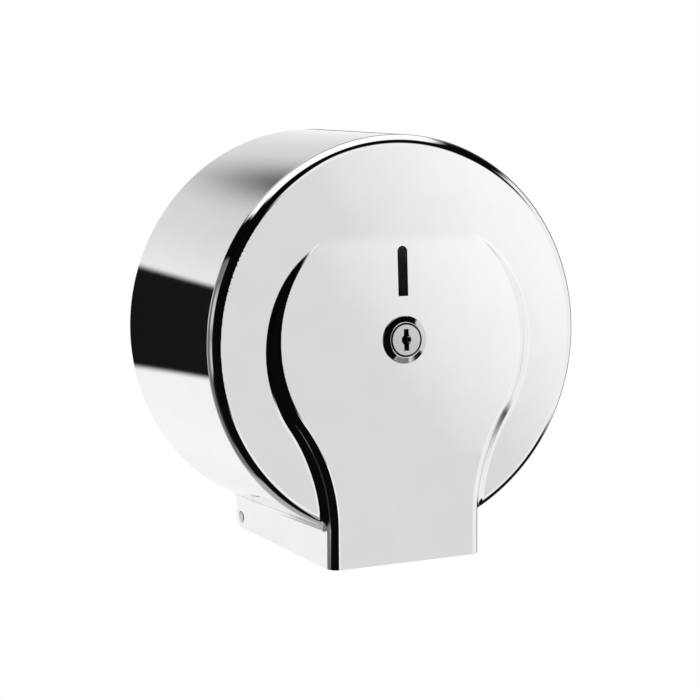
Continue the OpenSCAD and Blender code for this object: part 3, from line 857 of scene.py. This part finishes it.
def finish_lock_piece(work, name, node, body, is_painted_shade):
    """Turns a worked copy into the finished piece; the test given tells which faces get the dark paint that
    stands for shade.
    """
    for face in work.faces:
        face.material_index = int(is_painted_shade(face))
    work.transform(lock_place)
    mesh = as_mesh(work, name)
    crease(mesh, 32)
    shaded = add_object(name, mesh)
    weigh = shaded.modifiers.new("weigh", "WEIGHTED_NORMAL")
    weigh.weight = 100
    weigh.keep_sharp = True
    piece = add_object(name, finished_mesh(shaded, name), nickel, gap_shade_paint)
    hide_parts(node)
    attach(piece, body)


# The barrel's rear, with its stop lugs, is the CAD's; the collar and the rest are turned.
housing = merged_copy("lock_housing")
slice_off(housing, (0, 0, barrel_join - 1), (0, 0, 1))
corners = [(barrel_r, barrel_join - 1), (barrel_r, barrel_join), (barrel_r, 0), (collar_r, 0),
           (collar_r, collar_low, 1), (collar_ring_r, collar_top, 1), (collar_bore_r, collar_top, 1),
           (collar_bore_r, 0.1), (barrel_bore_r, 0.1), (barrel_bore_r, barrel_join),
           (barrel_bore_r, barrel_join - 1)]
spots = [housing.verts.new((r, 0, z)) for r, z in eased_profile(corners, collar_easing)]
line = [housing.edges.new(pair) for pair in zip(spots, spots[1:])]
bmesh.ops.spin(housing, geom=spots + line, axis=(0, 0, 1), cent=(0, 0, 0), steps=192,
               angle=2 * math.pi, use_merge=True)
bmesh.ops.remove_doubles(housing, verts=housing.verts, dist=0.001)
rims = [e for e in housing.edges if e.is_boundary]
for wall in (True, False):
    pair = [e for e in rims if (radius(e.verts[0].co) > 8) == wall]
    bmesh.ops.bridge_loops(housing, edges=pair)
bmesh.ops.recalc_face_normals(housing, faces=housing.faces)
# The bore's wall round the plug gets the dark paint, as painted shade in the gap.
finish_lock_piece(
    housing, "lock_housing_plated", "lock_housing", "cover",
    lambda face: radius(face.calc_center_median()) < collar_bore_r + 0.02
    and face.calc_center_median().z < collar_top - collar_easing)

# ---- Lock plug ----
# The turning core, cast and plated like the housing. Its round face has a flat key slot
# with a ground hollow in the middle; inside, the keyway's walls are painted black as shade.
plug_r = 8.35
plug_face = 2.4
slot_half_w = 1.4
slot_half_h = 5.8
hollow_x = slot_half_w + 0.05
plug = merged_copy("lock_plug")
for v in plug.verts:
    if v.co.z > 0.1 and radius(v.co) > 8.9:
        set_radius(v, plug_r)
    elif 0.8 < v.co.z < 1 and abs(v.co.x) > hollow_x and radius(v.co) < 3:
        v.co.x = math.copysign(hollow_x, v.co.x)
rims = [e for e in plug.edges
        if all(v.co.z > plug_face - 0.01 for v in e.verts) and e.calc_face_angle(0) > math.radians(40)]
eased_edges(plug, rims)


def in_key_slot(face):
    """Walls of the round gap and of the key slot, painted dark as shade; its shallow ends and hollow stay
    bright.
    """
    spot = face.calc_center_median()
    around = spot.z < plug_face - 0.25 and radius(spot) > plug_r - 0.1
    in_slot = abs(spot.x) < slot_half_w + 0.02 and abs(spot.y) < slot_half_h + 0.02
    deep = spot.z < plug_face - 0.25 and in_slot and spot.z > -19
    end_floor = abs(spot.y) > 4 and face.normal.z > 0.9
    return around or (deep and not end_floor)


finish_lock_piece(plug, "lock_plug_plated", "lock_plug", "lock_core", in_key_slot)

# ---- Lock wafers ----
# Six flat wafers stamped from brass strip, which the key would draw into the plug.
brass = grained("stamped_brass", "d9b566", "cba75a", 1.0, 0.25, 0.05, 0.5, 0.002)
dress(brass, "lock_wafers")

# ---- Lock fixing and cam ----
# The nut and its washer hold the housing in the cover. Behind them the stop disc and the
# cam sit on the plug's square, under a washer and a screw. All are plated steel.
dress(zinc_plate, "lock_washer", "lock_nut", "stop_disc", "lock_cam", "cam_washer", "cam_screw")
